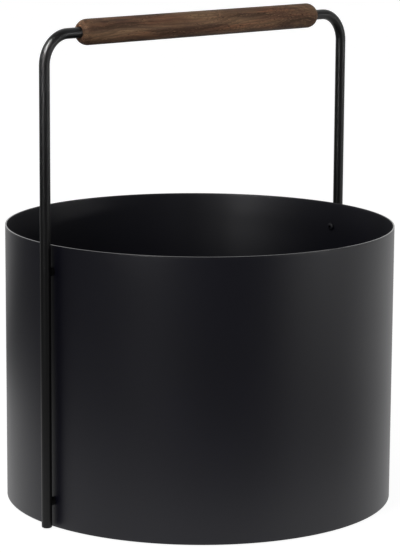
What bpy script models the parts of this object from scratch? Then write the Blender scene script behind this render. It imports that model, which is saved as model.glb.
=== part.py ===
"""A log holder: a round black steel bucket for firewood, with a tall fixed handle and a wooden grip.

The bucket stands on the XY plane with its centre on the Z axis. The handle's bar runs along X.
All lengths are in metres.
"""

import math

import bmesh
import bpy

# Bucket
BUCKET_DIAMETER = 0.380
BUCKET_HEIGHT = 0.270
WALL_THICKNESS = 0.0015
EDGE_ROUNDING = 0.0004

# Base plate, a pressed disc whose flange turns down inside the wall
BASE_THICKNESS = 0.0015
BASE_BEND_RADIUS = 0.003

# Rubber feet under the base plate
FOOT_DIAMETER = 0.016
FOOT_HEIGHT = 0.008
FOOT_TAPER = 0.001
FOOT_ROUNDING = 0.0008
FOOT_INSET = 0.012
FOOT_PROUD = 0.0015

# Handle rods, one bent bar for each side
ROD_DIAMETER = 0.010
ROD_STANDOFF = 0.003
BEND_RADIUS = 0.028
BAR_HEIGHT = 0.4645
LEG_END_LIFT = 0.0005
ROD_TAIL_LENGTH = 0.096
ROD_END_ROUNDING = 0.0015

# Wooden grip
GRIP_DIAMETER = 0.0245
GRIP_LENGTH = 0.312
GRIP_NOSE_RADIUS = 0.011
GRIP_BORE_DEPTH = 0.100

# Spacers and screws that hold each leg to the wall
SPACER_DIAMETER = 0.008
SCREW_DIAMETER = 0.004
SCREW_LENGTH = 0.010
SCREW_TIP_CHAMFER = 0.0005
HEAD_DIAMETER = 0.0076
HEAD_HEIGHT = 0.0022
HEAD_RIM_HEIGHT = 0.0005
SOCKET_WIDTH = 0.0025
SOCKET_DEPTH = 0.0013
SOCKET_LIP = 0.0002
TAP_TIP_CLEARANCE = 0.001
UPPER_FIXING_BELOW_RIM = 0.025
LOWER_FIXING_ABOVE_EDGE = 0.025

# Clearance between pieces that seat on or pass through one another, and the overrun of every cut
FIT_GAP = 0.0003
CUT_OVERRUN = 0.005

# Facet counts
BUCKET_STEPS = 96
ROD_SIDES = 24
BEND_STEPS = 14
GRIP_STEPS = 48
SMALL_STEPS = 24
FILLET_STEPS = 3
NOSE_STEPS = 8
HEX_SIDES = 6
MERGE_DISTANCE = 0.00001
SMOOTH_ANGLE = math.radians(40)
END_EDGE_ANGLE = math.radians(60)

# Sizes that follow from those above
BUCKET_RADIUS = BUCKET_DIAMETER / 2
ROD_RADIUS = ROD_DIAMETER / 2
BORE_RADIUS = ROD_RADIUS + FIT_GAP
SCREW_RADIUS = SCREW_DIAMETER / 2
SCREW_HOLE_RADIUS = SCREW_RADIUS + FIT_GAP
HEAD_SEAT_DEPTH = WALL_THICKNESS + FIT_GAP
ROD_AXIS_DEPTH = ROD_STANDOFF + ROD_RADIUS
LEG_OFFSET = BUCKET_RADIUS + ROD_AXIS_DEPTH
TAP_BOTTOM_DEPTH = SCREW_LENGTH - HEAD_SEAT_DEPTH + TAP_TIP_CLEARANCE

# Finishes: base colour as linear RGB, roughness and metallic value
BLACK_COAT = ((0.012, 0.012, 0.013), 0.45, 0.0)
BLACKENED_STEEL = ((0.02, 0.02, 0.021), 0.4, 0.8)
SMOKED_OAK = ((0.085, 0.04, 0.022), 0.55, 0.0)
BLACK_RUBBER = ((0.015, 0.015, 0.015), 0.8, 0.0)

# A side's name and the sign of its X. Left is -X.
SIDES = {"left": -1, "right": 1}
# A level's name and its height above the wall's lower edge
LEVELS = {"upper": BUCKET_HEIGHT - UPPER_FIXING_BELOW_RIM, "lower": LOWER_FIXING_ABOVE_EDGE}
# The feet's names and the signs of their X and Y. Front is -Y.
FOOT_CORNERS = {
    "front_left": (-1, -1),
    "front_right": (1, -1),
    "back_left": (-1, 1),
    "back_right": (1, 1),
}


def clear_scene():
    """Removes whatever objects the scene holds."""
    for obj in list(bpy.data.objects):
        bpy.data.objects.remove(obj)


def new_collection(name):
    collection = bpy.data.collections.new(name)
    bpy.context.scene.collection.children.link(collection)
    return collection


def new_material(name, finish):
    colour, roughness, metallic = finish
    material = bpy.data.materials.new(name)
    material.use_nodes = True
    shader = material.node_tree.nodes["Principled BSDF"]
    shader.inputs["Base Color"].default_value = (*colour, 1)
    shader.inputs["Roughness"].default_value = roughness
    shader.inputs["Metallic"].default_value = metallic
    material.diffuse_color = (*colour, 1)
    return material


def new_object(name, data, collection, parent=None, location=(0, 0, 0), rotation=(0, 0, 0)):
    obj = bpy.data.objects.new(name, data)
    collection.objects.link(obj)
    obj.parent = parent
    obj.location = location
    obj.rotation_euler = rotation
    return obj


def arc(centre, radius, start, end, steps):
    """Points of an arc in a plane, both ends included. The angles are in radians."""
    turn = (end - start) / steps
    return [
        (
            centre[0] + radius * math.cos(start + turn * step),
            centre[1] + radius * math.sin(start + turn * step),
        )
        for step in range(steps + 1)
    ]


def outline_mesh(name, points, closed):
    """A mesh of edges through (radius, height) points, drawn on the XZ plane at +X."""
    mesh = bpy.data.meshes.new(name)
    shape = bmesh.new()
    corners = [shape.verts.new((radius, 0, height)) for radius, height in points]
    for first, second in zip(corners, corners[1:]):
        shape.edges.new((first, second))
    if closed:
        shape.edges.new((corners[-1], corners[0]))
    shape.to_mesh(mesh)
    shape.free()
    return mesh


def turned_object(name, points, steps, collection, closed=False):
    """A profile turned about Z. The points run down its outer side, top to bottom."""
    obj = new_object(name, outline_mesh(name, points, closed), collection)
    screw = obj.modifiers.new("turn", "SCREW")
    screw.axis = "Z"
    screw.angle = math.tau
    screw.steps = steps
    screw.render_steps = steps
    screw.use_merge_vertices = True
    screw.merge_threshold = MERGE_DISTANCE
    return obj


def evaluated_mesh(obj):
    """The object's shape with its modifiers, as a mesh with welded points."""
    bpy.context.view_layer.update()
    graph = bpy.context.evaluated_depsgraph_get()
    mesh = bpy.data.meshes.new_from_object(obj.evaluated_get(graph))
    mesh.name = obj.name
    shape = bmesh.new()
    shape.from_mesh(mesh)
    bmesh.ops.remove_doubles(shape, verts=shape.verts, dist=MERGE_DISTANCE)
    shape.to_mesh(mesh)
    shape.free()
    return mesh


def apply_modifiers(obj):
    """Makes the modifiers part of the mesh, and shades its round faces smooth."""
    mesh = evaluated_mesh(obj)
    obj.modifiers.clear()
    obj.data = mesh
    mesh.shade_smooth()
    mesh.set_sharp_from_angle(angle=SMOOTH_ANGLE)
    return obj


def curve_to_mesh(obj, collection):
    """Replaces a curve object by a mesh object of the same name and place, its caps welded."""
    mesh = evaluated_mesh(obj)
    name, matrix, parent = obj.name, obj.matrix_world.copy(), obj.parent
    bpy.data.objects.remove(obj)
    made = new_object(name, mesh, collection, parent)
    made.matrix_world = matrix
    return made


def set_material(obj, material):
    obj.data.materials.clear()
    obj.data.materials.append(material)
    return obj


def cylinder_cutter(name, radius, length, sides, collection, location, rotation):
    """A hidden closed cylinder whose axis is its local Z and whose middle is at its location."""
    mesh = bpy.data.meshes.new(name)
    shape = bmesh.new()
    bmesh.ops.create_cone(
        shape, cap_ends=True, segments=sides, radius1=radius, radius2=radius, depth=length
    )
    shape.to_mesh(mesh)
    shape.free()
    cutter = new_object(name, mesh, collection, None, location, rotation)
    cutter.hide_render = True
    cutter.display_type = "WIRE"
    return cutter


def cut(obj, cutter):
    """Takes the cutter's shape out of the object."""
    boolean = obj.modifiers.new(cutter.name, "BOOLEAN")
    boolean.operation = "DIFFERENCE"
    boolean.solver = "EXACT"
    boolean.object = cutter


def make_bucket_wall(parts, cutters, datum, material):
    """The rolled and seam-welded sheet, with plain softened edges and a hole for each screw."""
    outer, inner, soft = BUCKET_RADIUS, BUCKET_RADIUS - WALL_THICKNESS, EDGE_ROUNDING
    top = BUCKET_HEIGHT
    quarter = math.pi / 2
    profile = [
        *arc((inner + soft, top - soft), soft, math.pi, quarter, FILLET_STEPS),
        *arc((outer - soft, top - soft), soft, quarter, 0, FILLET_STEPS),
        *arc((outer - soft, soft), soft, 0, -quarter, FILLET_STEPS),
        *arc((inner + soft, soft), soft, -quarter, -math.pi, FILLET_STEPS),
    ]
    wall = turned_object("bucket_wall", profile, BUCKET_STEPS, parts, closed=True)
    for level, height in LEVELS.items():
        hole = cylinder_cutter(
            f"wall_holes_{level}",
            SCREW_HOLE_RADIUS,
            BUCKET_DIAMETER + 2 * CUT_OVERRUN,
            SMALL_STEPS,
            cutters,
            (0, 0, height),
            (0, quarter, 0),
        )
        cut(wall, hole)
    apply_modifiers(wall)
    wall.parent = datum
    return set_material(wall, material)


def make_base_plate(parts, datum, material):
    """The floor of the bucket, a disc held up by the feet, with a flange down to the wall's edge."""
    outer = BUCKET_RADIUS - WALL_THICKNESS - FIT_GAP
    inner = outer - BASE_THICKNESS
    underside = FOOT_HEIGHT - FOOT_PROUD + FIT_GAP
    top = underside + BASE_THICKNESS
    bend_centre = (outer - BASE_BEND_RADIUS, top - BASE_BEND_RADIUS)
    inner_bend_radius = BASE_BEND_RADIUS - BASE_THICKNESS
    quarter = math.pi / 2
    profile = [
        (0, top),
        *arc(bend_centre, BASE_BEND_RADIUS, quarter, 0, FILLET_STEPS),
        (outer, 0),
        (inner, 0),
        *arc(bend_centre, inner_bend_radius, 0, quarter, FILLET_STEPS),
        (0, underside),
    ]
    base = turned_object("base_plate", profile, BUCKET_STEPS, parts)
    apply_modifiers(base)
    base.parent = datum
    return set_material(base, material)


def make_feet(parts, material):
    """Tapered rubber bumpers stuck under the base plate, near its flange."""
    top_radius = FOOT_DIAMETER / 2
    bottom_radius = top_radius - FOOT_TAPER
    profile = [
        (0, FOOT_HEIGHT),
        (top_radius, FOOT_HEIGHT),
        *arc(
            (bottom_radius - FOOT_ROUNDING, FOOT_ROUNDING),
            FOOT_ROUNDING,
            0,
            -math.pi / 2,
            FILLET_STEPS,
        ),
        (0, 0),
    ]
    pattern = turned_object("foot_pattern", profile, SMALL_STEPS, parts)
    apply_modifiers(pattern)
    set_material(pattern, material)
    mesh = pattern.data
    bpy.data.objects.remove(pattern)
    flange_radius = BUCKET_RADIUS - WALL_THICKNESS - FIT_GAP - BASE_THICKNESS
    reach = (flange_radius - FOOT_INSET - top_radius) * math.cos(math.pi / 4)
    for corner, (x_sign, y_sign) in FOOT_CORNERS.items():
        new_object(f"foot_{corner}", mesh, parts, None, (x_sign * reach, y_sign * reach, 0))


def rod_path():
    """(x, height) points along the left rod's axis, from the leg's end to the tail's end."""
    bend_centre = (BEND_RADIUS - LEG_OFFSET, BAR_HEIGHT - BEND_RADIUS)
    tail_end = ROD_TAIL_LENGTH - GRIP_LENGTH / 2
    return [
        (-LEG_OFFSET, LEG_END_LIFT),
        *arc(bend_centre, BEND_RADIUS, math.pi, math.pi / 2, BEND_STEPS),
        (tail_end, BAR_HEIGHT),
    ]


def make_rods(parts, cutters, datum, material):
    """The two handle rods, alike, each with two tapped holes for the screws of its leg."""
    curve = bpy.data.curves.new("rod_axis", "CURVE")
    curve.dimensions = "3D"
    curve.bevel_depth = ROD_RADIUS
    curve.bevel_resolution = ROD_SIDES // 2 - 2
    curve.use_fill_caps = True
    path = rod_path()
    spline = curve.splines.new("POLY")
    spline.points.add(len(path) - 1)
    for point, (x, height) in zip(spline.points, path):
        point.co = (x, 0, height, 1)
    rod = curve_to_mesh(new_object("rod_pattern", curve, parts), parts)
    rounding = rod.modifiers.new("round_ends", "BEVEL")
    rounding.limit_method = "ANGLE"
    rounding.angle_limit = END_EDGE_ANGLE
    rounding.width = ROD_END_ROUNDING
    rounding.segments = FILLET_STEPS
    hole_length = TAP_BOTTOM_DEPTH + CUT_OVERRUN
    hole_middle = BUCKET_RADIUS + TAP_BOTTOM_DEPTH - hole_length / 2
    for level, height in LEVELS.items():
        tapped_hole = cylinder_cutter(
            f"rod_hole_{level}",
            SCREW_HOLE_RADIUS,
            hole_length,
            SMALL_STEPS,
            cutters,
            (-hole_middle, 0, height),
            (0, math.pi / 2, 0),
        )
        cut(rod, tapped_hole)
    apply_modifiers(rod)
    set_material(rod, material)
    mesh = rod.data
    bpy.data.objects.remove(rod)
    for side in SIDES:
        turn = math.pi if side == "right" else 0
        new_object(f"handle_rod_{side}", mesh, parts, datum, (0, 0, 0), (0, 0, turn))


def make_grip(parts, datum, material):
    """The turned wooden dowel, bored from both ends for the rods' tails, with bullnose ends."""
    radius = GRIP_DIAMETER / 2
    end = GRIP_LENGTH / 2
    bore_bottom = end - GRIP_BORE_DEPTH
    nose = min(GRIP_NOSE_RADIUS, radius)
    nose_drop = min(nose, radius - BORE_RADIUS)
    nose_turn = math.acos(1 - nose_drop / nose)
    nose_centre = (radius - nose, end - nose * math.sin(nose_turn))
    upper = [
        (0, bore_bottom),
        (BORE_RADIUS, bore_bottom),
        *([(BORE_RADIUS, end)] if nose_drop < radius - BORE_RADIUS else []),
        *arc(nose_centre, nose, nose_turn, 0, NOSE_STEPS),
    ]
    lower = [(point_radius, -height) for point_radius, height in reversed(upper)]
    grip = turned_object("grip", upper + lower, GRIP_STEPS, parts)
    apply_modifiers(grip)
    grip.parent = datum
    grip.location = (0, 0, BAR_HEIGHT)
    grip.rotation_euler = (0, math.pi / 2, 0)
    return set_material(grip, material)


def spacer_mesh(parts, cutters, material):
    """A short sleeve along Z. Z is zero at the wall's outer face, and the far end saddles the rod."""
    outer, inner = SPACER_DIAMETER / 2, SCREW_HOLE_RADIUS
    profile = [(inner, ROD_AXIS_DEPTH), (outer, ROD_AXIS_DEPTH), (outer, FIT_GAP), (inner, FIT_GAP)]
    spacer = turned_object("spacer_pattern", profile, SMALL_STEPS, parts, closed=True)
    saddle = cylinder_cutter(
        "spacer_saddle",
        BORE_RADIUS,
        SPACER_DIAMETER + 2 * CUT_OVERRUN,
        ROD_SIDES,
        cutters,
        (0, 0, ROD_AXIS_DEPTH),
        (0, math.pi / 2, 0),
    )
    cut(spacer, saddle)
    apply_modifiers(spacer)
    set_material(spacer, material)
    mesh = spacer.data
    bpy.data.objects.remove(spacer)
    return mesh


def screw_mesh(parts, cutters, material):
    """A button-head screw along Z, driven outwards from inside the bucket. Z is zero as above."""
    seat = -HEAD_SEAT_DEPTH
    tip = seat + SCREW_LENGTH
    head_radius = HEAD_DIAMETER / 2
    crown = HEAD_HEIGHT - HEAD_RIM_HEIGHT
    socket_radius = SOCKET_WIDTH / 2 / math.cos(math.pi / HEX_SIDES)
    flat_radius = socket_radius + SOCKET_LIP
    quarter = math.pi / 2
    dome = [
        (
            flat_radius + (head_radius - flat_radius) * math.cos(quarter * step / NOSE_STEPS),
            seat - HEAD_RIM_HEIGHT - crown * math.sin(quarter * step / NOSE_STEPS),
        )
        for step in range(NOSE_STEPS + 1)
    ]
    profile = [
        (0, tip),
        (SCREW_RADIUS - SCREW_TIP_CHAMFER, tip),
        (SCREW_RADIUS, tip - SCREW_TIP_CHAMFER),
        (SCREW_RADIUS, seat),
        (head_radius, seat),
        *dome,
        (0, seat - HEAD_HEIGHT),
    ]
    screw = turned_object("screw_pattern", profile, SMALL_STEPS, parts)
    socket_length = SOCKET_DEPTH + CUT_OVERRUN
    socket = cylinder_cutter(
        "screw_socket",
        socket_radius,
        socket_length,
        HEX_SIDES,
        cutters,
        (0, 0, seat - HEAD_HEIGHT + SOCKET_DEPTH - socket_length / 2),
        (0, 0, 0),
    )
    cut(screw, socket)
    apply_modifiers(screw)
    set_material(screw, material)
    mesh = screw.data
    bpy.data.objects.remove(screw)
    return mesh


def make_fixings(parts, cutters, datum, spacer_material, screw_material):
    """At each fixing point on the wall's outer face, an empty that carries a spacer and a screw."""
    spacer = spacer_mesh(parts, cutters, spacer_material)
    screw = screw_mesh(parts, cutters, screw_material)
    for side, sign in SIDES.items():
        for level, height in LEVELS.items():
            place = (sign * BUCKET_RADIUS, 0, height)
            turn = (0, sign * math.pi / 2, 0)
            fixing = new_object(f"fixing_{side}_{level}", None, parts, datum, place, turn)
            new_object(f"spacer_{side}_{level}", spacer, parts, fixing)
            new_object(f"screw_{side}_{level}", screw, parts, fixing)


def main():
    clear_scene()
    parts = new_collection("log_holder")
    cutters = new_collection("cutters")
    black_coat = new_material("black_powder_coat", BLACK_COAT)
    blackened_steel = new_material("blackened_steel", BLACKENED_STEEL)
    smoked_oak = new_material("smoked_oak", SMOKED_OAK)
    black_rubber = new_material("black_rubber", BLACK_RUBBER)
    datum = new_object("wall_lower_edge", None, parts, None, (0, 0, FOOT_PROUD))
    make_bucket_wall(parts, cutters, datum, black_coat)
    make_base_plate(parts, datum, black_coat)
    make_feet(parts, black_rubber)
    make_rods(parts, cutters, datum, black_coat)
    make_grip(parts, datum, smoked_oak)
    make_fixings(parts, cutters, datum, black_coat, blackened_steel)


main()
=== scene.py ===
"""Log holder: the finished look of a round black steel bucket with a bar handle and an oak grip.

The file is laid out as a Blender add-on and is run as a script. Each operator models one piece,
or one group of like pieces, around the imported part, whose boxes give the sizes' defaults.
All lengths are in metres. +Z is up, the front is -Y, and the handle's bar runs along X.
"""

import math

import bmesh
import bpy
from mathutils import Matrix, Vector


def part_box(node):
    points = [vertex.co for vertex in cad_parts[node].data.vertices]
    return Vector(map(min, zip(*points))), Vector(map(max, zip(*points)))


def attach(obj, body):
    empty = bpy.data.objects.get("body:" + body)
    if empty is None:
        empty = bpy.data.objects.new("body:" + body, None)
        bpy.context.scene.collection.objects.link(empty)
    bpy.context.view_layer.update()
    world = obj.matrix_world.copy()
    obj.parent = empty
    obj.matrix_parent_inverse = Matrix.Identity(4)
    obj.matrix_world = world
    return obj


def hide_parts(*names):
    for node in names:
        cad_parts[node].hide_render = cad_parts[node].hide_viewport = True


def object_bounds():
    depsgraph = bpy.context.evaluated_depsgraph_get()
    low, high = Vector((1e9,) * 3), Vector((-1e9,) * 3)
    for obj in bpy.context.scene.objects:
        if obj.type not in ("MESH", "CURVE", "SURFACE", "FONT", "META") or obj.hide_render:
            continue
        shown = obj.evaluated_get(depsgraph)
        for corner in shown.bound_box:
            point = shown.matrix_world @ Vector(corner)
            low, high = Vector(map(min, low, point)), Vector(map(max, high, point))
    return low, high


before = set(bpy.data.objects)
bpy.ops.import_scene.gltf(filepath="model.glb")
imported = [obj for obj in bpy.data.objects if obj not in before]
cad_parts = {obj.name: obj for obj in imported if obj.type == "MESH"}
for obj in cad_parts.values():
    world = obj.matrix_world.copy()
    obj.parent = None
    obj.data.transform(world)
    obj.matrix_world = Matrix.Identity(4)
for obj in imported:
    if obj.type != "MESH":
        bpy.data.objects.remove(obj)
CAD_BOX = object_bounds()

bl_info = {
    "name": "Log Holder",
    "version": (1, 0, 0),
    "blender": (4, 5, 0),
    "location": "3D View > Sidebar > Log Holder",
    "description": "Models a firewood bucket with a bar handle and an oak grip, and its studio",
    "category": "Add Mesh",
}

BODY = "root"
SIDES = {"left": -1, "right": 1}
LEVELS = ("upper", "lower")
FEET = ("front_left", "front_right", "back_left", "back_right")

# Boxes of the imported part's nodes, from which the sizes' defaults come
WALL_LOW, WALL_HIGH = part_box("bucket_wall")
BASE_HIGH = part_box("base_plate")[1]
ROD_LOW, ROD_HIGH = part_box("handle_rod_left")
GRIP_LOW, GRIP_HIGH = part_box("grip")
SPACER_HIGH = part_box("spacer_left_upper")[1]
SCREW_LOW, SCREW_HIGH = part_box("screw_left_upper")
GRIP_AXIS = (GRIP_LOW.z + GRIP_HIGH.z) / 2

# Steps round each turned shape, along its bends and along its rounded edges
WALL_STEPS = 240
ROD_STEPS = 40
GRIP_STEPS = 96
SMALL_STEPS = 48
BEND_STEPS = 28
EDGE_STEPS = 4
NOSE_STEPS = 14
FLOOR_STEPS = 96
HEX_SIDES = 6

# Distances and angles that the shapes share
MERGE_DISTANCE = 0.00001
SHARP_ANGLE = math.radians(35)
HALF_TURN = math.pi
QUARTER_TURN = math.pi / 2

# The flat ring round a hex socket, against the socket's corner radius
SOCKET_RING_SHARE = 1.15

# The chamfer at a screw's tip, against its shank's radius
TIP_CHAMFER_SHARE = 0.25

# Noises of the coat, the steel and the rubber: scale, detail and roughness
CLOUD_NOISE = (14.0, 3.0, 0.5)
PEEL_NOISE = (420.0, 2.0, 0.5)
GRAIN_NOISE = (1500.0, 3.0, 0.6)
BLOTCH_NOISE = (300.0, 3.0, 0.6)
GRIT_NOISE = (4000.0, 2.0, 0.5)
DUST_NOISE = (180.0, 4.0, 0.65)
PEBBLE_NOISE = (2600.0, 2.0, 0.5)

# What they become: two values of a noise, and the tint, share or roughness at each
CLOUD_TINT = (0.35, 0.65, 0.92, 1.08)
BLOTCH_TINT = (0.3, 0.7, 0.8, 1.2)
BLOTCH_ROUGHNESS = (0.3, 0.7, 0.42, 0.50)
DUST_SHARE = (0.5, 0.75, 0.0, 0.35)
DUST_ROUGHNESS = (0.3, 0.7, 0.78, 0.9)

# The most roughness that the coat's clouds and grain add
CLOUD_ROUGHNESS = 0.04
GRAIN_ROUGHNESS = 0.06

# Reliefs of the coat, the steel and the rubber: strength and depth
PEEL_RELIEF = (0.10, 0.0002)
BAR_PEEL_RELIEF = (0.03, 0.0002)
GRAIN_RELIEF = (0.16, 0.00008)
GRIT_RELIEF = (0.15, 0.00003)
PEBBLE_RELIEF = (0.3, 0.00005)

# The oak's rings: their pitch, and how much they sway and ripple
OAK_RING = 0.0036
OAK_SWAY = 0.018
OAK_RIPPLE = 0.0030

# The rings' middle, about 24 mm in front of the grip's axis and 52 mm above it, and their slant
OAK_SHIFT = (0.0, 0.024, -0.0518 - GRIP_AXIS)
OAK_SLANT = (0.0, math.radians(3.2), math.radians(-2.2))

# Places along the grip where the rings bulge: middle, spread and height
OAK_BULGES = ((0.118, 0.020, 0.0110), (-0.010, 0.030, -0.0045), (-0.110, 0.026, 0.0050))

# Late and early wood from the start of a ring to its end: stops, each a place and a share
LATE_WOOD = ((0.0, 0.6), (0.10, 0.0), (0.45, 0.2), (0.84, 1.0), (1.0, 0.6))
EARLY_WOOD = ((0.0, 0.5), (0.08, 1.0), (0.45, 0.8), (0.66, 0.15), (1.0, 0.2))

# The oak's noises: shift, scales along and across the grip, detail, roughness and distortion
OAK_NOISES = {
    "sway": (0.0, 9.0, 55.0, 2.0, 0.55, 0.0),
    "ripple": (0.0, 34.0, 210.0, 3.0, 0.55, 0.0),
    "fibre": (0.0, 14.0, 520.0, 3.0, 0.6, 0.0),
    "thread": (0.0, 55.0, 2400.0, 2.0, 0.6, 0.0),
    "cluster": (1.7, 24.0, 130.0, 1.0, 0.5, 0.0),
    "pore": (0.0, 300.0, 1500.0, 1.0, 0.4, 0.0),
    "fleck": (0.4, 260.0, 1300.0, 1.0, 0.4, 0.0),
    "patch": (0.2, 12.0, 55.0, 2.0, 0.5, 0.5),
    "shade": (5.3, 11.0, 90.0, 2.0, 0.5, 0.3),
    "warmth": (3.1, 9.0, 130.0, 2.0, 0.5, 0.0),
}

# What the oak's noises become: two values of a noise, and the tint or share at each
FIBRE_RANGE = (0.3, 0.7)
OAK_SPANS = {
    "fibre": (*FIBRE_RANGE, 0.72, 1.26),
    "thread": (0.3, 0.7, 0.86, 1.13),
    "cluster": (0.40, 0.56, 0.25, 1.0),
    "pore": (0.55, 0.63, 0.0, 1.0),
    "fleck": (0.56, 0.66, 0.0, 0.7),
    "patch": (0.42, 0.60, 0.0, 1.0),
    "shade": (0.48, 0.62, 0.0, 0.75),
    "warmth": (0.50, 0.66, 0.0, 0.8),
}

# How much of their colour the late wood and the pores put on the oak
LATE_WOOD_SHARE = 0.45
PORE_SHARE = 0.85

# How much the fibres change the oak's roughness up or down, and the pores raise it
FIBRE_ROUGHNESS = 0.06
PORE_ROUGHNESS = 0.2

# Painted shade on the grip's underside: heights over the axis where it starts and is full
PAINTED_SHADE_START = 0.0025
PAINTED_SHADE_FULL = -0.0050

# How far the painted shade's edge wanders, and how dark it gets
PAINTED_SHADE_SWAY = 0.012
PAINTED_SHADE_SHARE = 0.85

# Reliefs of the oak: strength and depth
FIBRE_RELIEF = (0.22, 0.00025)
THREAD_RELIEF = (0.18, 0.0001)
PORE_RELIEF = (0.5, 0.00025)

# The camera's place and turn in metres and radians, fitted to the photograph's view
CAMERA_DISTANCE = 2.36101
CAMERA_HEIGHT = 0.66442
CAMERA_AZIMUTH = 0.7676
CAMERA_PITCH = 0.18696
CAMERA_ROLL = 0.00614
CAMERA_YAW = 0.0002

# The camera's lens: its focal length in pixels of a picture as high as the photograph
FOCAL_PIXELS = 2445.9
PICTURE_HEIGHT = 553
SENSOR_WIDTH = 36
CLIP_NEAR = 0.1
CLIP_FAR = 100.0

# The floor's size and dullness
FLOOR_RADIUS = 12.0
FLOOR_ROUGHNESS = 0.9

# The white pool on the floor, whose middle lies behind the holder's on the left
POOL_AZIMUTH = -150
POOL_SHIFT = 0.12
POOL_CORE = 0.38
POOL_EDGE = 0.64

# The white sweep of the floor, behind on the right: distances from the holder's middle
SWEEP_AZIMUTH = 145
SWEEP_START = 0.06
SWEEP_FULL = 0.66

# The white backdrop: cosines of the angles from straight behind at its edge and where it is full
BACKDROP_EDGE = 0.10
BACKDROP_FULL = 0.45

# The backdrop's lower edge: sines of the heights where it starts and where it is full
BACKDROP_LOW = 0.02
BACKDROP_HIGH = 0.14

# Spots that the soft boxes face
HOLDER_MIDDLE = (0, 0, CAD_BOX[1].z / 2)
ABOVE_HANDLE = (0, 0, 0.544)
BESIDE_BEND = (-0.226, 0, 0.4545)

# Each soft box: the spot it faces, its azimuth, elevation and spread in degrees, and its
# distance, width and height. The last three have grids, and light only the handle.
SOFT_BOXES = {
    "high": (HOLDER_MIDDLE, -36, 45, 180, 2.2, 0.60, 0.60),
    "key": (HOLDER_MIDDLE, -26, 12, 180, 2.6, 0.30, 0.50),
    "side": (HOLDER_MIDDLE, 63, -2, 180, 3.2, 1.80, 0.30),
    "handle_left": (ABOVE_HANDLE, -35, 0, 10, 1.57, 0.30, 0.42),
    "handle_right": (ABOVE_HANDLE, 78, 0, 10, 1.57, 0.30, 0.42),
    "bend": (BESIDE_BEND, -28, 49, 20, 0.12, 0.060, 0.060),
}

# The most watts that a soft box's slider gives
MOST_POWER = 200.0

# The colour of the floor's glow, its white and the background
WHITE = (1, 1, 1, 1)


def length(name, description, default, low=0.0):
    """A property that holds a length."""
    return bpy.props.FloatProperty(
        name=name,
        description=description,
        default=default,
        min=low,
        precision=5,
        subtype="DISTANCE",
        unit="LENGTH",
    )


def colour(name, description, default):
    """A property that holds a linear colour."""
    return bpy.props.FloatVectorProperty(
        name=name,
        description=description,
        default=default,
        min=0.0,
        max=1.0,
        size=3,
        subtype="COLOR",
    )


def share(name, description, default, high=1.0):
    """A property that holds a share or a strength."""
    return bpy.props.FloatProperty(
        name=name, description=description, default=default, min=0.0, soft_max=high, precision=4
    )


def watts(name, box, default):
    """A property that holds the power of a soft box."""
    return share(name, f"Power of the {box}, in watts", default, MOST_POWER)


class BucketSizes(bpy.types.PropertyGroup):
    """Sizes of the bucket's wall, base plate and feet."""

    radius: length("Radius", "Outer radius of the wall", WALL_HIGH.x)
    edge: length("Lower edge", "Height of the wall's lower edge", WALL_LOW.z)
    rim: length("Rim", "Height of the wall's upper edge", WALL_HIGH.z)
    sheet: length("Sheet", "Thickness of the wall's sheet", 0.0015)
    softening: length("Softening", "Rounding of the sheet's cut edges", 0.00025)
    base_radius: length("Base radius", "Outer radius of the base plate's flange", BASE_HIGH.x)
    base_top: length("Base height", "Height of the base plate's upper face", BASE_HIGH.z)
    base_sheet: length("Base sheet", "Thickness of the base plate", 0.0015)
    base_bend: length("Base bend", "Outer radius of the bend into the flange", 0.003)
    foot_taper: length("Foot taper", "How much narrower a foot is at its sole", 0.001)
    foot_rounding: length("Foot rounding", "Rounding round a foot's sole", 0.0008)


class HandleSizes(bpy.types.PropertyGroup):
    """Sizes of the rods, the grip, the spacers and the screws."""

    rod_radius: length("Rod radius", "Radius of the handle's round bar", ROD_HIGH.y)
    bend: length("Bend radius", "Radius of the bar's bends, along its axis", 0.028)
    rod_end: length("Rod end", "Rounding of the rods' cut ends", 0.0015)
    gap: length("Gap", "Clearance between pieces that seat on one another", 0.0003)
    nose: length("Nose radius", "Radius of the grip's bullnose ends", 0.011)
    bore_depth: length("Bore depth", "Depth of the grip's bores", 0.100)
    bore_lip: length("Bore lip", "Softening of the wood round each bore", 0.0004)
    shank_radius: length("Shank radius", "Radius of the screws' shanks", 0.002)
    head_height: length("Head height", "Height of the screws' heads", 0.0022)
    head_rim: length("Head rim", "Height of the straight rim below a head's dome", 0.0005)
    socket_width: length("Socket width", "Width across the flats of the hex sockets", 0.0025)
    socket_depth: length("Socket depth", "Depth of the hex sockets", 0.0013)


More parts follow.
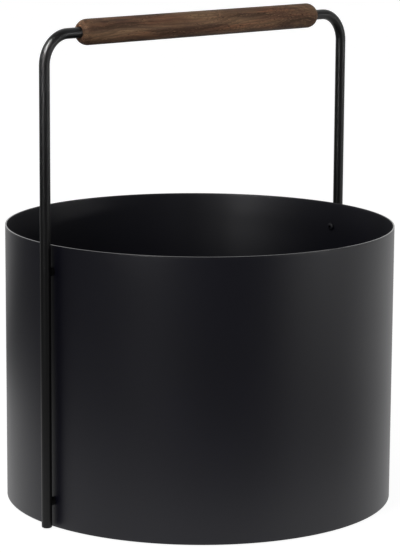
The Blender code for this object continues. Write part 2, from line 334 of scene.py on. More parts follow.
class HolderFinishes(bpy.types.PropertyGroup):
    """Colours and gloss of the holder's finishes."""

    coat: colour("Bucket coat", "Colour of the bucket's powder coat", (0.0011, 0.0010, 0.0052))
    bar_coat: colour("Bar coat", "Colour of the bar's powder coat", (0.0020, 0.0020, 0.0022))
    outer_roughness: share("Outer roughness", "Roughness of the powder coat", 0.42)
    outer_gloss: share("Outer gloss", "Specular level of the powder coat", 0.38)
    inner_roughness: share("Inner roughness", "Roughness of the coat inside the bucket", 0.42)
    inner_gloss: share("Inner gloss", "Specular level of the coat inside the bucket", 0.80)
    bar_roughness: share("Bar roughness", "Roughness of the coat on the handle's bar", 0.42)
    bar_gloss: share("Bar gloss", "Specular level of the coat on the handle's bar", 0.26)
    rim_roughness: share("Rim roughness", "Roughness of the coat on the wall's cut edge", 0.16)
    rim_gloss: share("Rim gloss", "Specular level of the coat on the wall's cut edge", 0.50)
    oak_light: colour("Oak, light", "Colour of the oak's early wood", (0.225, 0.137, 0.079))
    oak_mid: colour("Oak, middle", "Colour of most of the oak", (0.135, 0.076, 0.045))
    oak_dark: colour("Oak, dark", "Colour of the oak's late wood", (0.041, 0.023, 0.016))
    oak_red: colour("Oak, red", "Warmer tint that runs along the oak", (0.193, 0.086, 0.047))
    oak_pore: colour("Oak, pores", "Colour of the oak's open pores", (0.014, 0.008, 0.005))
    oak_roughness: share("Oak roughness", "Roughness of the oiled oak", 0.58)
    oak_gloss: share("Oak gloss", "Specular level of the oiled oak", 0.06)
    steel: colour("Black steel", "Colour of the blackened screws", (0.006, 0.006, 0.009))
    steel_gloss: share("Steel gloss", "Specular level of the blackened screws", 0.35)
    rubber: colour("Rubber", "Colour of the feet", (0.018, 0.018, 0.018))
    rubber_gloss: share("Rubber gloss", "Specular level of the feet", 0.3)
    dust: colour("Dust", "Colour of the trace of dust on the feet", (0.05, 0.05, 0.048))


class StudioSettings(bpy.types.PropertyGroup):
    """The floor and the lights of the studio."""

    floor: colour("Floor", "Colour of the floor", (0.28, 0.28, 0.28))
    world: share("World", "Strength of the light from all round", 0.29, 2.0)
    pool: share("Pool", "How white the floor close to the holder shows in its finish", 1.0)
    lift: share("Lift", "How much the floor glows to the camera, over its own shading", 0.92)
    high: watts("High", "high soft box on the left", 12.0)
    key: watts("Key", "narrow soft box on the left", 8.8)
    side: watts("Side", "low strip box on the right", 10.0)
    handle_left: watts("Handle left", "gridded box on the left", 0.14)
    handle_right: watts("Handle right", "gridded box on the right", 0.16)
    bend: watts("Bend", "gridded box over the left bend", 0.065)


class Outline:
    """A chain of edges in a bmesh on the XZ plane, drawn step by step from a first point."""

    def __init__(self, mesh, radius, height):
        self.mesh = mesh
        self.first = mesh.verts.new((radius, 0, height))
        self.tip = self.first

    def line(self, radius, height):
        """Goes on in a straight line."""
        made = bmesh.ops.extrude_vert_indiv(self.mesh, verts=[self.tip])
        self.tip = made["verts"][0]
        self.tip.co = (radius, 0, height)
        return self

    def arc(self, radius, height, degrees, steps):
        """Goes on round a centre. A positive turn goes from +X towards +Z."""
        made = bmesh.ops.spin(
            self.mesh,
            geom=[self.tip],
            cent=(radius, 0, height),
            axis=(0, -1, 0),
            angle=math.radians(degrees),
            steps=steps,
        )
        self.tip = [item for item in made["geom_last"] if isinstance(item, bmesh.types.BMVert)][0]
        return self

    def close(self):
        """Joins the chain's last point to its first."""
        self.mesh.edges.new((self.tip, self.first))
        return self


def turn(mesh, steps):
    """Turns every edge of a bmesh a full turn about Z."""
    bmesh.ops.spin(
        mesh,
        geom=mesh.verts[:] + mesh.edges[:],
        cent=(0, 0, 0),
        axis=(0, 0, 1),
        angle=math.tau,
        steps=steps,
        use_merge=True,
    )
    bmesh.ops.remove_doubles(mesh, verts=mesh.verts, dist=MERGE_DISTANCE)


def guard(mesh, *planes):
    """Cuts a loop into a bmesh at each plane, so that smooth shading stays flat on long faces."""
    for point, normal in planes:
        bmesh.ops.bisect_plane(
            mesh,
            geom=mesh.verts[:] + mesh.edges[:] + mesh.faces[:],
            dist=MERGE_DISTANCE,
            plane_co=point,
            plane_no=normal,
        )


def round_edges(mesh, edges, radius, steps):
    """Rounds the named edges of a bmesh."""
    bmesh.ops.bevel(
        mesh,
        geom=edges,
        offset=radius,
        offset_type="OFFSET",
        affect="EDGES",
        segments=steps,
        profile=0.5,
        material=-1,
    )


def ring_edges(mesh, radius, height):
    """The edges that run round Z at a radius and a height."""
    return [
        edge
        for edge in mesh.edges
        if all(
            abs(vert.co.z - height) < MERGE_DISTANCE
            and abs(math.hypot(vert.co.x, vert.co.y) - radius) < MERGE_DISTANCE
            for vert in edge.verts
        )
    ]


def finished(name, mesh, material, slot, *nodes):
    """Makes a piece of a bmesh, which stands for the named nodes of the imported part."""
    bmesh.ops.recalc_face_normals(mesh, faces=mesh.faces)
    data = bpy.data.meshes.new(name)
    mesh.to_mesh(data)
    mesh.free()
    data.shade_smooth()
    data.set_sharp_from_angle(angle=SHARP_ANGLE)
    data.materials.append(material)
    piece = bpy.data.objects.new(name, data)
    bpy.context.scene.collection.objects.link(piece)
    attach(piece, BODY)
    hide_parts(*nodes)
    return piece


class Bench:
    """Builds a node tree in plain steps."""

    def __init__(self, tree):
        self.tree = tree

    def feed(self, socket, value):
        """Links a node's first output or a socket into a socket, or sets its value."""
        if isinstance(value, bpy.types.Node):
            value = value.outputs[0]
        if isinstance(value, bpy.types.NodeSocket):
            self.tree.links.new(value, socket)
        else:
            socket.default_value = value

    def node(self, kind, inputs=None, **settings):
        """A new node. The inputs are named, or numbered where names repeat."""
        made = self.tree.nodes.new(kind)
        for name, value in settings.items():
            setattr(made, name, value)
        for name, value in (inputs or {}).items():
            self.feed(made.inputs[name], value)
        return made

    def place(self, shift=(0, 0, 0), turned=(0, 0, 0), scale=(1, 1, 1)):
        """Object coordinates, scaled, turned and then shifted."""
        coordinates = self.node("ShaderNodeTexCoord").outputs["Object"]
        return self.node(
            "ShaderNodeMapping",
            {"Vector": coordinates, "Location": shift, "Rotation": turned, "Scale": scale},
        )

    def noise(self, vector, scale, detail, roughness, distortion=0.0):
        """A noise. Its scale counts the patches along one unit of the vector."""
        return self.node(
            "ShaderNodeTexNoise",
            {
                "Vector": vector,
                "Scale": scale,
                "Detail": detail,
                "Roughness": roughness,
                "Distortion": distortion,
            },
        )

    def sum(self, operation, first, second=0.0, third=0.0):
        """One step of arithmetic."""
        return self.node("ShaderNodeMath", {0: first, 1: second, 2: third}, operation=operation)

    def span(self, value, low, high, to_low=0.0, to_high=1.0):
        """Maps a value from one range to another, held at both ends."""
        return self.node(
            "ShaderNodeMapRange",
            {"Value": value, "From Min": low, "From Max": high, "To Min": to_low, "To Max": to_high},
        )

    def mix(self, factor, first, second, blend="MIX"):
        """Mixes a second colour into a first, by a factor from 0 to 1."""
        made = self.node(
            "ShaderNodeMix",
            {0: factor, 6: first, 7: second},
            data_type="RGBA",
            blend_type=blend,
            clamp_factor=True,
        )
        return made.outputs[2]

    def ramp(self, value, *stops):
        """Maps a value to a grey between stops, each of them a position and a tone."""
        made = self.node("ShaderNodeValToRGB", {"Fac": value})
        elements = made.color_ramp.elements
        while len(elements) < len(stops):
            elements.new(0.5)
        for element, (position, tone) in zip(elements, stops):
            element.position = position
            element.color = (tone, tone, tone, 1)
        return made.outputs["Color"]

    def bump(self, height, strength, distance, normal=None):
        """A relief, on top of another one where its normal is given."""
        made = self.node(
            "ShaderNodeBump", {"Height": height, "Strength": strength, "Distance": distance}
        )
        if normal is not None:
            self.feed(made.inputs["Normal"], normal)
        return made


def new_material(name):
    """A material, its bench and its Principled shader."""
    material = bpy.data.materials.new(name)
    material.use_nodes = True
    return material, Bench(material.node_tree), material.node_tree.nodes["Principled BSDF"]


def opaque(tone):
    """A colour property as four numbers."""
    return (*tone, 1)


def powder_coat(film="outer"):
    """Fine-textured satin black powder coat, with the faint unevenness of a sprayed and baked film.

    The film is outer, inner, rim or bar: it lies smoother on the wall's cut edge and on the bar.
    """
    name = f"satin_powder_coat_{film}"
    found = bpy.data.materials.get(name)
    if found:
        return found
    finish = bpy.context.scene.log_holder_finishes
    on_bar = film == "bar"
    coat = finish.bar_coat if on_bar else finish.coat
    material, bench, shader = new_material(name)
    place = bench.place()
    cloud = bench.noise(place, *CLOUD_NOISE)
    flow = bench.noise(place, *PEEL_NOISE)
    grain = bench.noise(place, *GRAIN_NOISE)
    tone = bench.mix(1.0, opaque(coat), bench.span(cloud, *CLOUD_TINT), "MULTIPLY")
    bench.feed(shader.inputs["Base Color"], tone)
    # Half of what the noises add comes off first, so the mean roughness is the film's own
    half_added = (GRAIN_ROUGHNESS + CLOUD_ROUGHNESS) / 2
    least = getattr(finish, f"{film}_roughness") - half_added
    mottled = bench.sum("MULTIPLY_ADD", grain, GRAIN_ROUGHNESS, least)
    clouded = bench.sum("MULTIPLY_ADD", cloud, CLOUD_ROUGHNESS, mottled)
    bench.feed(shader.inputs["Roughness"], clouded)
    shader.inputs["Specular IOR Level"].default_value = getattr(finish, f"{film}_gloss")
    peel = bench.bump(flow, *(BAR_PEEL_RELIEF if on_bar else PEEL_RELIEF))
    bench.feed(shader.inputs["Normal"], bench.bump(grain, *GRAIN_RELIEF, peel))
    return material


def smoked_oak():
    """Oiled smoked oak: slanting rings, fibres, rows of dark pores, pale and reddish streaks."""
    found = bpy.data.materials.get("oiled_smoked_oak")
    if found:
        return found
    finish = bpy.context.scene.log_holder_finishes
    material, bench, shader = new_material("oiled_smoked_oak")
    grain = {}
    for name, (shift, along, across, *character) in OAK_NOISES.items():
        place = bench.place((shift, 0, 0), scale=(along, across, across))
        grain[name] = bench.noise(place, 1.0, *character)
    shares = {name: bench.span(grain[name], *limits) for name, limits in OAK_SPANS.items()}

    # The distance from the rings' middle, with its bulges, counts the rings
    slanted = bench.place(OAK_SHIFT, OAK_SLANT)
    outward = bench.node("ShaderNodeVectorMath", {0: slanted, 1: (0, 1, 1)}, operation="MULTIPLY")
    reach = bench.node("ShaderNodeVectorMath", {0: outward}, operation="LENGTH").outputs["Value"]
    spot = bench.node("ShaderNodeSeparateXYZ", {"Vector": bench.place()}).outputs
    for middle, spread, rise in OAK_BULGES:
        offset = bench.sum("DIVIDE", bench.sum("SUBTRACT", spot["X"], middle), spread)
        falling = bench.sum("MULTIPLY", bench.sum("MULTIPLY", offset, offset), -1.0)
        reach = bench.sum("MULTIPLY_ADD", bench.sum("EXPONENT", falling), rise, reach)
    swayed = bench.sum("MULTIPLY_ADD", grain["sway"], OAK_SWAY, reach)
    rippled = bench.sum("MULTIPLY_ADD", grain["ripple"], OAK_RIPPLE, swayed)
    ring = bench.sum("FRACT", bench.sum("DIVIDE", rippled, OAK_RING))

    # Pores and pale flecks gather in the early wood
    early_wood = bench.ramp(ring, *EARLY_WOOD)
    gathered = bench.sum("MULTIPLY", early_wood, shares["cluster"])
    pore = bench.sum("MULTIPLY", shares["pore"], gathered)
    fleck = bench.sum("MULTIPLY", shares["fleck"], gathered)

    # Painted shade: the oak is darkened below the grip's axis, with a wandering edge
    wandering = bench.sum("MULTIPLY_ADD", grain["sway"], PAINTED_SHADE_SWAY, spot["Z"])
    upper, lower = GRIP_AXIS + PAINTED_SHADE_START, GRIP_AXIS + PAINTED_SHADE_FULL
    painted_underside_shade = bench.span(wandering, upper, lower, 0.0, PAINTED_SHADE_SHARE)
    late_wood = bench.sum("MULTIPLY", bench.ramp(ring, *LATE_WOOD), LATE_WOOD_SHARE)

    light, dark = opaque(finish.oak_light), opaque(finish.oak_dark)
    patched = bench.mix(shares["patch"], opaque(finish.oak_mid), light)
    warmed = bench.mix(shares["warmth"], patched, opaque(finish.oak_red))
    shaded = bench.mix(shares["shade"], warmed, dark)
    # The painted shade darkens the grip's underside
    shade_painted = bench.mix(painted_underside_shade, shaded, dark)
    ringed = bench.mix(late_wood, shade_painted, dark)
    streaked = bench.mix(1.0, ringed, shares["fibre"], "MULTIPLY")
    threaded = bench.mix(1.0, streaked, shares["thread"], "MULTIPLY")
    flecked = bench.mix(fleck, threaded, light)
    pored = bench.mix(bench.sum("MULTIPLY", pore, PORE_SHARE), flecked, opaque(finish.oak_pore))
    bench.feed(shader.inputs["Base Color"], pored)

    roughest = finish.oak_roughness + FIBRE_ROUGHNESS
    smoothest = finish.oak_roughness - FIBRE_ROUGHNESS
    oiled = bench.span(grain["fibre"], *FIBRE_RANGE, roughest, smoothest)
    bench.feed(shader.inputs["Roughness"], bench.sum("MULTIPLY_ADD", pore, PORE_ROUGHNESS, oiled))
    shader.inputs["Specular IOR Level"].default_value = finish.oak_gloss
    furrow = bench.bump(grain["fibre"], *FIBRE_RELIEF)
    hair = bench.bump(grain["thread"], *THREAD_RELIEF, furrow)
    pit = bench.bump(bench.sum("SUBTRACT", 1.0, pore), *PORE_RELIEF, hair)
    bench.feed(shader.inputs["Normal"], pit)
    return material


def blackened_steel():
    """Black oxide on turned steel: dull, with soft blotches and a fine grit."""
    found = bpy.data.materials.get("black_oxide_steel")
    if found:
        return found
    finish = bpy.context.scene.log_holder_finishes
    material, bench, shader = new_material("black_oxide_steel")
    place = bench.place()
    blotch = bench.noise(place, *BLOTCH_NOISE)
    grit = bench.noise(place, *GRIT_NOISE)
    tone = bench.mix(1.0, opaque(finish.steel), bench.span(blotch, *BLOTCH_TINT), "MULTIPLY")
    bench.feed(shader.inputs["Base Color"], tone)
    bench.feed(shader.inputs["Roughness"], bench.span(blotch, *BLOTCH_ROUGHNESS))
    shader.inputs["Specular IOR Level"].default_value = finish.steel_gloss
    bench.feed(shader.inputs["Normal"], bench.bump(grit, *GRIT_RELIEF))
    return material


def black_rubber():
    """Matt moulded rubber with a fine pebble and a trace of dust."""
    found = bpy.data.materials.get("matt_black_rubber")
    if found:
        return found
    finish = bpy.context.scene.log_holder_finishes
    material, bench, shader = new_material("matt_black_rubber")
    place = bench.place()
    dust = bench.noise(place, *DUST_NOISE)
    pebble = bench.noise(place, *PEBBLE_NOISE)
    laid = bench.span(dust, *DUST_SHARE)
    dusted = bench.mix(laid, opaque(finish.rubber), opaque(finish.dust))
    bench.feed(shader.inputs["Base Color"], dusted)
    bench.feed(shader.inputs["Roughness"], bench.span(dust, *DUST_ROUGHNESS))
    shader.inputs["Specular IOR Level"].default_value = finish.rubber_gloss
    bench.feed(shader.inputs["Normal"], bench.bump(pebble, *PEBBLE_RELIEF))
    return material


class LOGHOLDER_OT_bucket_wall(bpy.types.Operator):
    """Model the bucket's rolled wall, with softened cut edges"""

    bl_idname = "log_holder.bucket_wall"
    bl_label = "Bucket Wall"

    def execute(self, context):
        sizes = context.scene.log_holder_bucket
        inner = sizes.radius - sizes.sheet
        mesh = bmesh.new()
        outline = Outline(mesh, inner, sizes.rim)
        outline.line(sizes.radius, sizes.rim).line(sizes.radius, sizes.edge)
        outline.line(inner, sizes.edge).close()
        turn(mesh, WALL_STEPS)
        corners = [
            edge
            for radius in (sizes.radius, inner)
            for height in (sizes.rim, sizes.edge)
            for edge in ring_edges(mesh, radius, height)
        ]
        round_edges(mesh, corners, sizes.softening, EDGE_STEPS)
        margin = 2 * sizes.sheet
        guard(
            mesh,
            ((0, 0, sizes.rim - margin), (0, 0, 1)),
            ((0, 0, sizes.edge + margin), (0, 0, 1)),
        )
        wall = finished("rolled_wall", mesh, powder_coat(), "powder_coat", "bucket_wall")
        wall.data.materials.append(powder_coat("inner"))
        wall.data.materials.append(powder_coat("rim"))
        for face in wall.data.polygons:
            if math.hypot(face.center.x, face.center.y) < inner + sizes.softening:
                face.material_index = 1
            elif face.center.z > sizes.rim - sizes.softening:
                face.material_index = 2
        return {"FINISHED"}


class LOGHOLDER_OT_base_plate(bpy.types.Operator):
    """Model the pressed base plate, whose flange turns down inside the wall"""

    bl_idname = "log_holder.base_plate"
    bl_label = "Base Plate"

    def execute(self, context):
        sizes = context.scene.log_holder_bucket
        outer, inner = sizes.base_radius, sizes.base_radius - sizes.base_sheet
        top, under = sizes.base_top, sizes.base_top - sizes.base_sheet
        mesh = bmesh.new()
        outline = Outline(mesh, 0, top)
        outline.line(outer, top).line(outer, sizes.edge).line(inner, sizes.edge)
        outline.line(inner, under).line(0, under)
        turn(mesh, WALL_STEPS)
        round_edges(mesh, ring_edges(mesh, outer, top), sizes.base_bend, EDGE_STEPS)
        inside_bend = sizes.base_bend - sizes.base_sheet
        round_edges(mesh, ring_edges(mesh, inner, under), inside_bend, EDGE_STEPS)
        finished("pressed_base", mesh, powder_coat("inner"), "powder_coat", "base_plate")
        return {"FINISHED"}


class LOGHOLDER_OT_feet(bpy.types.Operator):
    """Model the four tapered rubber feet under the base plate"""

    bl_idname = "log_holder.feet"
    bl_label = "Rubber Feet"

    def execute(self, context):
        sizes = context.scene.log_holder_bucket
        for corner in FEET:
            low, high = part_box(f"foot_{corner}")
            middle = (low + high) / 2
            top_radius = (high.x - low.x) / 2
            sole = top_radius - sizes.foot_taper
            mesh = bmesh.new()
            outline = Outline(mesh, 0, high.z)
            outline.line(top_radius, high.z).line(sole, low.z).line(0, low.z)
            turn(mesh, SMALL_STEPS)
            round_edges(mesh, ring_edges(mesh, sole, low.z), sizes.foot_rounding, EDGE_STEPS)
            bmesh.ops.translate(mesh, verts=mesh.verts, vec=(middle.x, middle.y, 0))
            name = f"rubber_foot_{corner}"
            finished(name, mesh, black_rubber(), "black_rubber", f"foot_{corner}")
        return {"FINISHED"}


def rod_mesh(sizes):
    """The left rod: up the leg, round the bend and along the bar to the end of its tail."""
    radius = sizes.rod_radius
    leg_x, bar_z = ROD_LOW.x + radius, ROD_HIGH.z - radius
    straight = [
        (leg_x, ROD_LOW.z + 2 * sizes.rod_end),
        (leg_x, bar_z - sizes.bend - radius),
        (leg_x, bar_z - sizes.bend),
    ]
    mesh = bmesh.new()
    bmesh.ops.create_circle(mesh, cap_ends=True, segments=ROD_STEPS, radius=radius)
    bmesh.ops.translate(mesh, verts=mesh.verts, vec=(leg_x, 0, ROD_LOW.z))
    cap = list(mesh.faces)

    def extrude_to(x, z):
        made = bmesh.ops.extrude_face_region(mesh, geom=cap)
        cap[:] = [item for item in made["geom"] if isinstance(item, bmesh.types.BMFace)]
        corners = cap[0].verts
        shift = Vector((x, 0, z)) - cap[0].calc_center_median()
        bmesh.ops.translate(mesh, verts=corners, vec=shift)

    for x, z in straight:
        extrude_to(x, z)
    bent = bmesh.ops.spin(
        mesh,
        geom=cap + list(cap[0].edges) + list(cap[0].verts),
        cent=(leg_x + sizes.bend, 0, bar_z - sizes.bend),
        axis=(0, 1, 0),
        angle=QUARTER_TURN,
        steps=BEND_STEPS,
    )
    cap[:] = [item for item in bent["geom_last"] if isinstance(item, bmesh.types.BMFace)]
    extrude_to(leg_x + sizes.bend + radius, bar_z)
    extrude_to(ROD_HIGH.x - 2 * sizes.rod_end, bar_z)
    extrude_to(ROD_HIGH.x, bar_z)
    bmesh.ops.remove_doubles(mesh, verts=mesh.verts, dist=MERGE_DISTANCE)
    ends = [
        edge
        for edge in mesh.edges
        if all(vert.co.z < ROD_LOW.z + MERGE_DISTANCE for vert in edge.verts)
        or all(vert.co.x > ROD_HIGH.x - MERGE_DISTANCE for vert in edge.verts)
    ]
    round_edges(mesh, ends, sizes.rod_end, EDGE_STEPS)
    return mesh


class LOGHOLDER_OT_rods(bpy.types.Operator):
    """Model the handle's two bent rods"""

    bl_idname = "log_holder.rods"
    bl_label = "Handle Rods"

    def execute(self, context):
        sizes = context.scene.log_holder_handle
        for side, sign in SIDES.items():
            mesh = rod_mesh(sizes)
            if sign > 0:
                turned = Matrix.Rotation(HALF_TURN, 4, "Z")
                bmesh.ops.transform(mesh, matrix=turned, verts=mesh.verts)
            name = f"bent_rod_{side}"
            finished(name, mesh, powder_coat("bar"), "powder_coat", f"handle_rod_{side}")
        return {"FINISHED"}


class LOGHOLDER_OT_grip(bpy.types.Operator):
    """Model the turned oak grip, with bullnose ends bored for the rods"""

    bl_idname = "log_holder.grip"
    bl_label = "Oak Grip"

    def execute(self, context):
        sizes = context.scene.log_holder_handle
        end = GRIP_HIGH.x
        radius = (GRIP_HIGH.z - GRIP_LOW.z) / 2
        bore = sizes.rod_radius + sizes.gap
        nose, lip = sizes.nose, sizes.bore_lip
        degrees = math.degrees(math.acos(1 - (radius - bore - lip) / nose))
        start = end - nose * math.sin(math.radians(degrees))
        guard_length = end - 2 * nose
        mesh = bmesh.new()
        outline = Outline(mesh, 0, end - sizes.bore_depth)
        outline.line(bore, end - sizes.bore_depth).line(bore, end - lip)
        outline.line(bore + lip, end)
        # Drawn outwards from the bore, so the arc runs clockwise seen from the front
        outline.arc(radius - nose, start, -degrees, NOSE_STEPS)
        outline.line(radius, guard_length).line(radius, 0)
        turn(mesh, GRIP_STEPS)
        bmesh.ops.mirror(
            mesh,
            geom=mesh.verts[:] + mesh.edges[:] + mesh.faces[:],
            matrix=Matrix.Identity(4),
            merge_dist=MERGE_DISTANCE,
            axis="Z",
        )
        bmesh.ops.remove_doubles(mesh, verts=mesh.verts, dist=MERGE_DISTANCE)
        lying = Matrix.Translation((0, 0, GRIP_AXIS))
        lying = lying @ Matrix.Rotation(QUARTER_TURN, 4, "Y")
        bmesh.ops.transform(mesh, matrix=lying, verts=mesh.verts)
        finished("oak_grip", mesh, smoked_oak(), "smoked_oak", "grip")
        return {"FINISHED"}


def stood_at(mesh, side, level):
    """Turns a bmesh drawn along Z so that it points outwards at a fixing point of the wall."""
    low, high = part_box(f"spacer_{side}_{level}")
    sign = SIDES[side]
    place = Matrix.Translation((sign * WALL_HIGH.x, 0, (low.z + high.z) / 2))
    place = place @ Matrix.Rotation(sign * QUARTER_TURN, 4, "Y")
    bmesh.ops.transform(mesh, matrix=place, verts=mesh.verts)


class LOGHOLDER_OT_spacers(bpy.types.Operator):
    """Model the four sleeves that hold the legs off the wall, each saddled to its rod"""

    bl_idname = "log_holder.spacers"
    bl_label = "Spacers"

    def execute(self, context):
        sizes = context.scene.log_holder_handle
        outer = SPACER_HIGH.y
        inner = sizes.shank_radius + sizes.gap
        saddle = sizes.rod_radius + sizes.gap
        axis_depth = -WALL_HIGH.x - ROD_LOW.x - sizes.rod_radius
        for side in SIDES:
            for level in LEVELS:
                mesh = bmesh.new()
                outline = Outline(mesh, inner, axis_depth)
                outline.line(outer, axis_depth).line(outer, sizes.gap)
                outline.line(inner, sizes.gap).close()
                turn(mesh, SMALL_STEPS)
                for vert in mesh.verts:
                    if vert.co.z > axis_depth - MERGE_DISTANCE:
                        vert.co.z = axis_depth - math.sqrt(saddle**2 - vert.co.y**2)
                stood_at(mesh, side, level)
                name = f"spacer_sleeve_{side}_{level}"
                finished(name, mesh, powder_coat("bar"), "powder_coat", f"spacer_{side}_{level}")
        return {"FINISHED"}


def screw_mesh(sizes):
    """A button-head screw along Z, its head towards -Z. Z is zero at the wall's outer face."""
    tip = -SCREW_LOW.x - WALL_HIGH.x
    face = -SCREW_HIGH.x - WALL_HIGH.x
    seat = face + sizes.head_height
    head = SCREW_HIGH.y
    socket = sizes.socket_width / 2 / math.cos(math.pi / HEX_SIDES)
    flat = socket * SOCKET_RING_SHARE
    crown = sizes.head_height - sizes.head_rim
    chamfer = sizes.shank_radius * TIP_CHAMFER_SHARE
    mesh = bmesh.new()
    outline = Outline(mesh, 0, tip)
    outline.line(sizes.shank_radius - chamfer, tip).line(sizes.shank_radius, tip - chamfer)
    outline.line(sizes.shank_radius, seat).line(head, seat).line(head, seat - sizes.head_rim)
    before = set(mesh.verts)
    outline.arc(flat, seat - sizes.head_rim, -90, NOSE_STEPS)
    dome = [vert for vert in mesh.verts if vert not in before]
    for vert in dome:
        drop = seat - sizes.head_rim - vert.co.z
        vert.co.z = seat - sizes.head_rim - drop * crown / (head - flat)
    turn(mesh, SMALL_STEPS)
    rim = ring_edges(mesh, flat, face)
    hexagon = bmesh.ops.create_circle(mesh, cap_ends=False, segments=HEX_SIDES, radius=socket)
    bmesh.ops.translate(mesh, verts=hexagon["verts"], vec=(0, 0, face))
    mouth = list({edge for vert in hexagon["verts"] for edge in vert.link_edges})
    bmesh.ops.bridge_loops(mesh, edges=rim + mouth)
    sunk = bmesh.ops.extrude_edge_only(mesh, edges=mouth)
    floor = [item for item in sunk["geom"] if isinstance(item, bmesh.types.BMVert)]
    bmesh.ops.translate(mesh, verts=floor, vec=(0, 0, sizes.socket_depth))
    bottom = [
        item
        for item in sunk["geom"]
        if isinstance(item, bmesh.types.BMEdge) and all(vert in floor for vert in item.verts)
    ]
    bmesh.ops.contextual_create(mesh, geom=bottom)
    return mesh


class LOGHOLDER_OT_screws(bpy.types.Operator):
    """Model the four button-head screws, driven outwards from inside the bucket"""

    bl_idname = "log_holder.screws"
    bl_label = "Screws"

    def execute(self, context):
        sizes = context.scene.log_holder_handle
        for side in SIDES:
            for level in LEVELS:
                mesh = screw_mesh(sizes)
                stood_at(mesh, side, level)
                name = f"button_screw_{side}_{level}"
                node = f"screw_{side}_{level}"
                finished(name, mesh, blackened_steel(), "blackened_steel", node)
        return {"FINISHED"}


def studio_direction(azimuth, elevation):
    """A direction seen from the holder. Azimuth 0 is towards the camera, and 90 is to its right."""
    around = math.radians(azimuth)
    level = math.cos(math.radians(elevation))
    towards = Vector((-math.sin(CAMERA_AZIMUTH), -math.cos(CAMERA_AZIMUTH), 0))
    right = Vector((math.cos(CAMERA_AZIMUTH), -math.sin(CAMERA_AZIMUTH), 0))
    flat = towards * math.cos(around) + right * math.sin(around)
    return flat * level + Vector((0, 0, math.sin(math.radians(elevation))))


def soft_box(name, power, target, azimuth, elevation, spread, distance, width, height):
    """A rectangular area lamp that faces a spot from a distance. Below 180 the spread is a grid's."""
    lamp = bpy.data.lights.new(name, "AREA")
    lamp.shape = "RECTANGLE"
    lamp.size = width
    lamp.size_y = height
    lamp.spread = math.radians(spread)
    lamp.energy = power
    box = bpy.data.objects.new(name, lamp)
    bpy.context.scene.collection.objects.link(box)
    away = studio_direction(azimuth, elevation)
    box.location = Vector(target) + away * distance
    box.rotation_mode = "QUATERNION"
    box.rotation_quaternion = (-away).to_track_quat("-Z", "Y")
    box.visible_camera = False


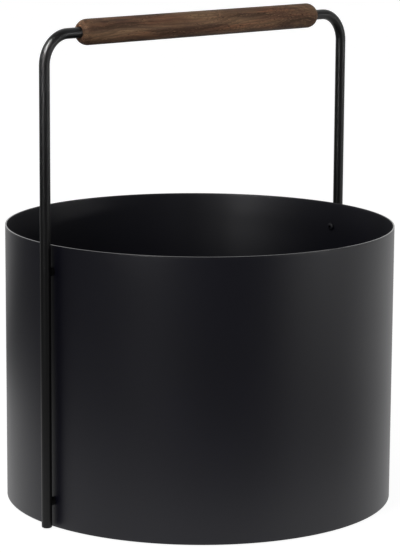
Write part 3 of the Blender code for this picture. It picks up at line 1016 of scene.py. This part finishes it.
class LOGHOLDER_OT_studio(bpy.types.Operator):
    """Set up the pale floor, the white background, the soft lights and the camera"""

    bl_idname = "log_holder.studio"
    bl_label = "Studio"

    def execute(self, context):
        settings = context.scene.log_holder_studio
        self.make_floor(settings)
        self.make_world(settings)
        for name, place in SOFT_BOXES.items():
            soft_box(f"{name}_box", getattr(settings, name), *place)
        self.make_camera()
        context.scene.view_settings.view_transform = "Standard"
        return {"FINISHED"}

    def make_floor(self, settings):
        """A grey floor that glows to the camera, and is partly white in the holder's gloss."""
        mesh = bmesh.new()
        bmesh.ops.create_circle(mesh, cap_ends=True, segments=FLOOR_STEPS, radius=FLOOR_RADIUS)
        data = bpy.data.meshes.new("studio_floor")
        mesh.to_mesh(data)
        mesh.free()
        floor = bpy.data.objects.new("studio_floor", data)
        bpy.context.scene.collection.objects.link(floor)
        material, bench, shader = new_material("pale_floor")
        shader.inputs["Base Color"].default_value = opaque(settings.floor)
        shader.inputs["Roughness"].default_value = FLOOR_ROUGHNESS
        shader.inputs["Specular IOR Level"].default_value = 0.0
        coordinates = bench.node("ShaderNodeTexCoord").outputs["Object"]
        shown, mirrored = self.seen_rays(bench)
        reach = bench.node(
            "ShaderNodeVectorMath",
            {0: coordinates, 1: studio_direction(POOL_AZIMUTH, 0) * POOL_SHIFT},
            operation="DISTANCE",
        ).outputs["Value"]
        pool = bench.span(reach, POOL_EDGE, POOL_CORE)
        pool.interpolation_type = "SMOOTHSTEP"
        behind = bench.node(
            "ShaderNodeVectorMath",
            {0: coordinates, 1: studio_direction(SWEEP_AZIMUTH, 0)},
            operation="DOT_PRODUCT",
        ).outputs["Value"]
        sweep = bench.span(behind, SWEEP_START, SWEEP_FULL)
        sweep.interpolation_type = "SMOOTHSTEP"
        dull = bench.sum("MULTIPLY_ADD", pool, -settings.pool, 1.0)
        grey = bench.sum("MULTIPLY", dull, bench.sum("SUBTRACT", 1.0, sweep))
        glossy = bench.sum("MULTIPLY", bench.sum("SUBTRACT", 1.0, grey), mirrored)
        white = bench.node("ShaderNodeEmission", {"Color": WHITE, "Strength": 1.0})
        both = bench.node("ShaderNodeMixShader", {0: glossy, 1: shader, 2: white})
        # The glow adds to the floor's own shading, so the holder's shadow stays
        strength = bench.sum("MULTIPLY", shown, settings.lift)
        glow = bench.node("ShaderNodeEmission", {"Color": WHITE, "Strength": strength})
        lifted = bench.node("ShaderNodeAddShader", {0: both, 1: glow})
        bench.feed(material.node_tree.nodes["Material Output"].inputs["Surface"], lifted)
        data.materials.append(material)

    def seen_rays(self, bench):
        """Two shares: one on camera rays, and one on glossy and transmission rays."""
        path = bench.node("ShaderNodeLightPath").outputs
        mirrored = bench.sum("MAXIMUM", path["Is Glossy Ray"], path["Is Transmission Ray"])
        return path["Is Camera Ray"], mirrored

    def make_world(self, settings):
        """Plain light from all round. Behind the holder it shows as a white backdrop."""
        world = bpy.data.worlds.new("white_studio")
        world.use_nodes = True
        bpy.context.scene.world = world
        bench = Bench(world.node_tree)
        direction = bench.node("ShaderNodeTexCoord").outputs["Generated"]
        behind = bench.node(
            "ShaderNodeVectorMath", {0: direction, 1: -studio_direction(0, 0)}, operation="DOT_PRODUCT"
        ).outputs["Value"]
        height = bench.node("ShaderNodeSeparateXYZ", {"Vector": direction}).outputs["Z"]
        across = bench.span(behind, BACKDROP_EDGE, BACKDROP_FULL)
        upward = bench.span(height, BACKDROP_LOW, BACKDROP_HIGH)
        across.interpolation_type = upward.interpolation_type = "SMOOTHSTEP"
        shown, mirrored = self.seen_rays(bench)
        glossy = bench.sum("MULTIPLY", bench.sum("MULTIPLY", across, upward), mirrored)
        strength = bench.span(bench.sum("MAXIMUM", shown, glossy), 0.0, 1.0, settings.world, 1.0)
        background = world.node_tree.nodes["Background"]
        background.inputs["Color"].default_value = WHITE
        bench.feed(background.inputs["Strength"], strength)

    def make_camera(self):
        """The camera that sees the holder as the photograph shows it."""
        lens = bpy.data.cameras.new("photo_camera")
        lens.sensor_width = SENSOR_WIDTH
        lens.sensor_fit = "AUTO"
        lens.lens = FOCAL_PIXELS * SENSOR_WIDTH / PICTURE_HEIGHT
        lens.clip_start = CLIP_NEAR
        lens.clip_end = CLIP_FAR
        camera = bpy.data.objects.new("photo_camera", lens)
        bpy.context.scene.collection.objects.link(camera)
        spot = studio_direction(0, 0) * CAMERA_DISTANCE
        spot.z = CAMERA_HEIGHT
        heading = CAMERA_AZIMUTH + CAMERA_YAW
        aim = Matrix.Rotation(-heading, 4, "Z")
        aim = aim @ Matrix.Rotation(QUARTER_TURN - CAMERA_PITCH, 4, "X")
        aim = aim @ Matrix.Rotation(CAMERA_ROLL, 4, "Z")
        camera.matrix_world = Matrix.Translation(spot) @ aim
        bpy.context.scene.camera = camera


OPERATORS = (
    LOGHOLDER_OT_bucket_wall,
    LOGHOLDER_OT_base_plate,
    LOGHOLDER_OT_feet,
    LOGHOLDER_OT_rods,
    LOGHOLDER_OT_grip,
    LOGHOLDER_OT_spacers,
    LOGHOLDER_OT_screws,
    LOGHOLDER_OT_studio,
)
SETTINGS = {
    "log_holder_bucket": BucketSizes,
    "log_holder_handle": HandleSizes,
    "log_holder_finishes": HolderFinishes,
    "log_holder_studio": StudioSettings,
}


class LOGHOLDER_PT_sidebar(bpy.types.Panel):
    """Lists the holder's pieces, sizes and finishes."""

    bl_idname = "LOGHOLDER_PT_sidebar"
    bl_label = "Log Holder"
    bl_space_type = "VIEW_3D"
    bl_region_type = "UI"
    bl_category = "Log Holder"

    def draw(self, context):
        for operator in OPERATORS:
            self.layout.operator(operator.bl_idname)
        for name in SETTINGS:
            box = self.layout.box()
            group = getattr(context.scene, name)
            for key in group.__annotations__:
                box.prop(group, key)


def register():
    """Registers the settings, the operators and the sidebar."""
    for group in (*SETTINGS.values(), *OPERATORS, LOGHOLDER_PT_sidebar):
        bpy.utils.register_class(group)
    for name, group in SETTINGS.items():
        setattr(bpy.types.Scene, name, bpy.props.PointerProperty(type=group))


def unregister():
    """Takes the settings, the operators and the sidebar away."""
    for name in SETTINGS:
        delattr(bpy.types.Scene, name)
    for group in (LOGHOLDER_PT_sidebar, *reversed(OPERATORS), *reversed(SETTINGS.values())):
        bpy.utils.unregister_class(group)


def run(operator):
    """Calls an operator by its id, and stops the script if it didn't finish."""
    area, name = operator.bl_idname.split(".")
    if getattr(getattr(bpy.ops, area), name)() != {"FINISHED"}:
        raise RuntimeError(f"{operator.bl_label} didn't finish")


def main():
    """Builds the holder and its studio."""
    register()
    for operator in OPERATORS:
        run(operator)


if __name__ == "__main__":
    main()
